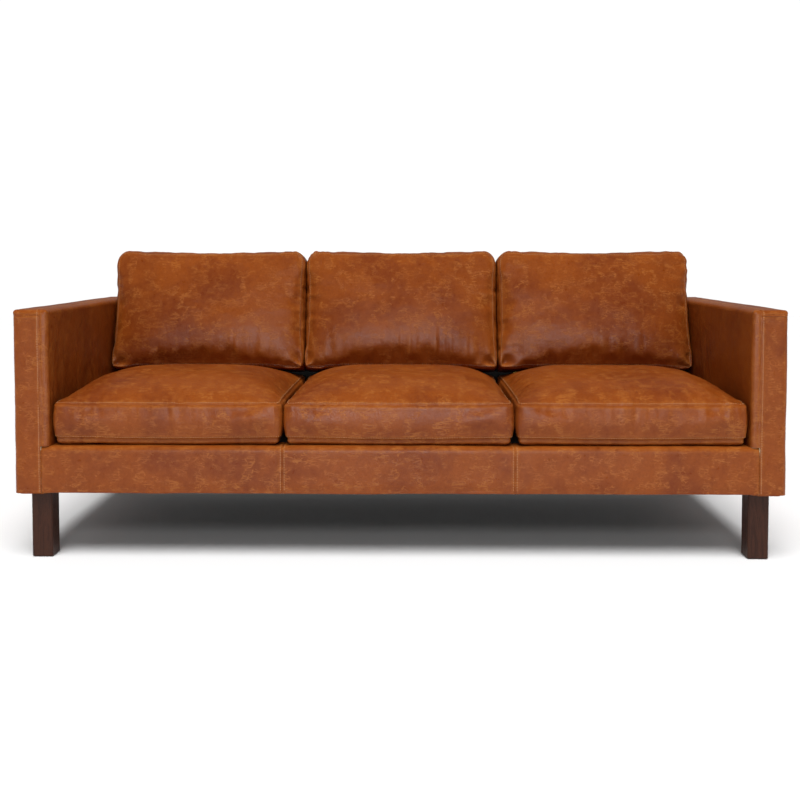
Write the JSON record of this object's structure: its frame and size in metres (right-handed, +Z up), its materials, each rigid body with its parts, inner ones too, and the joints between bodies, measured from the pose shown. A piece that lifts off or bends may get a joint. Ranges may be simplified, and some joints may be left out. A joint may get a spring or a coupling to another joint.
{
  "type": "sofa with wooden legs",
  "caption": "Leather sofa with square track arms, loose seat and back cushions and square dark wooden legs.",
  "frame": {"origin": "centre of the footprint, on the floor under the sofa", "axes": "+X along the width, to the right as seen from the front; the front faces -Y; +Z up"},
  "size_m": [2.13, 0.865, 0.8606],
  "materials": {
    "leather": "distressed pull-up leather, satin, with lighter crease lines",
    "leg_wood": "dark stained hardwood, satin",
    "frame_wood": "bare softwood",
    "board": "bare hardboard",
    "foam": "upholstery foam",
    "lining": "black lining cloth",
    "spring_steel": "bright drawn wire",
    "bolt_steel": "zinc plated",
    "webbing": "woven jute webbing",
    "zip_tape": "dark brown zip tape and teeth",
    "zip_metal": "aged brass",
    "glide": "matt black nylon"
  },
  "bodies": {
    "root": {"left_arm_posts": "frame_wood", "left_arm_rails": "frame_wood", "left_arm_boards": "board", "left_arm_padding": "foam", "left_arm_cover": "leather", "right_arm_posts": "frame_wood", "right_arm_rails": "frame_wood", "right_arm_boards": "board", "right_arm_padding": "foam", "right_arm_cover": "leather", "front_rail": "frame_wood", "rear_rail": "frame_wood", "cross_rails": "frame_wood", "corner_blocks": "frame_wood", "back_posts": "frame_wood", "back_rails": "frame_wood", "seat_springs": "spring_steel", "spring_clips": "spring_steel", "spring_ties": "spring_steel", "deck_pad": "foam", "front_rail_padding": "foam", "back_padding": "foam", "deck_cover": "lining", "dust_cover": "lining", "inside_back_cover": "lining", "front_rail_cover": "leather", "outside_back_cover": "leather", "back_webbing": "webbing", "front_left_leg": "leg_wood", "front_right_leg": "leg_wood", "rear_left_leg": "leg_wood", "rear_right_leg": "leg_wood", "leg_glides": "glide", "hanger_bolts": "bolt_steel", "arm_bolts": "bolt_steel", "t_nuts": "bolt_steel"},
    "left_seat_cushion": {"left_seat_cover": "leather", "left_seat_core": "foam", "left_seat_zip": "zip_tape"},
    "left_seat_cushion_slider": {"left_seat_zip_slider": "zip_metal"},
    "middle_seat_cushion": {"middle_seat_cover": "leather", "middle_seat_core": "foam", "middle_seat_zip": "zip_tape"},
    "middle_seat_cushion_slider": {"middle_seat_zip_slider": "zip_metal"},
    "right_seat_cushion": {"right_seat_cover": "leather", "right_seat_core": "foam", "right_seat_zip": "zip_tape"},
    "right_seat_cushion_slider": {"right_seat_zip_slider": "zip_metal"},
    "left_back_cushion": {"left_back_cushion_cover": "leather", "left_back_cushion_core": "foam", "left_back_cushion_zip": "zip_tape"},
    "left_back_cushion_slider": {"left_back_cushion_slider": "zip_metal"},
    "middle_back_cushion": {"middle_back_cushion_cover": "leather", "middle_back_cushion_core": "foam", "middle_back_cushion_zip": "zip_tape"},
    "middle_back_cushion_slider": {"middle_back_cushion_slider": "zip_metal"},
    "right_back_cushion": {"right_back_cushion_cover": "leather", "right_back_cushion_core": "foam", "right_back_cushion_zip": "zip_tape"},
    "right_back_cushion_slider": {"right_back_cushion_slider": "zip_metal"}
  },
  "joints": [
    {"name": "left_seat_lift_out", "type": "slide", "parent": "root", "child": "left_seat_cushion", "axis": [0, -1, 0], "range_m": [0, 0.7]},
    {"name": "left_seat_zip_run", "type": "slide", "parent": "left_seat_cushion", "child": "left_seat_cushion_slider", "axis": [1, 0, 0], "range_m": [0, 0.5]},
    {"name": "middle_seat_lift_out", "type": "slide", "parent": "root", "child": "middle_seat_cushion", "axis": [0, -1, 0], "range_m": [0, 0.7]},
    {"name": "middle_seat_zip_run", "type": "slide", "parent": "middle_seat_cushion", "child": "middle_seat_cushion_slider", "axis": [1, 0, 0], "range_m": [0, 0.5]},
    {"name": "right_seat_lift_out", "type": "slide", "parent": "root", "child": "right_seat_cushion", "axis": [0, -1, 0], "range_m": [0, 0.7]},
    {"name": "right_seat_zip_run", "type": "slide", "parent": "right_seat_cushion", "child": "right_seat_cushion_slider", "axis": [1, 0, 0], "range_m": [0, 0.5]},
    {"name": "left_back_lift_out", "type": "slide", "parent": "root", "child": "left_back_cushion", "axis": [0, 0.2164, 0.9763], "range_m": [0, 0.45]},
    {"name": "left_back_zip_run", "type": "slide", "parent": "left_back_cushion", "child": "left_back_cushion_slider", "axis": [1, 0, 0], "range_m": [0, 0.5]},
    {"name": "middle_back_lift_out", "type": "slide", "parent": "root", "child": "middle_back_cushion", "axis": [0, 0.2164, 0.9763], "range_m": [0, 0.45]},
    {"name": "middle_back_zip_run", "type": "slide", "parent": "middle_back_cushion", "child": "middle_back_cushion_slider", "axis": [1, 0, 0], "range_m": [0, 0.5]},
    {"name": "right_back_lift_out", "type": "slide", "parent": "root", "child": "right_back_cushion", "axis": [0, 0.2164, 0.9763], "range_m": [0, 0.45]},
    {"name": "right_back_zip_run", "type": "slide", "parent": "right_back_cushion", "child": "right_back_cushion_slider", "axis": [1, 0, 0], "range_m": [0, 0.5]}
  ]
}
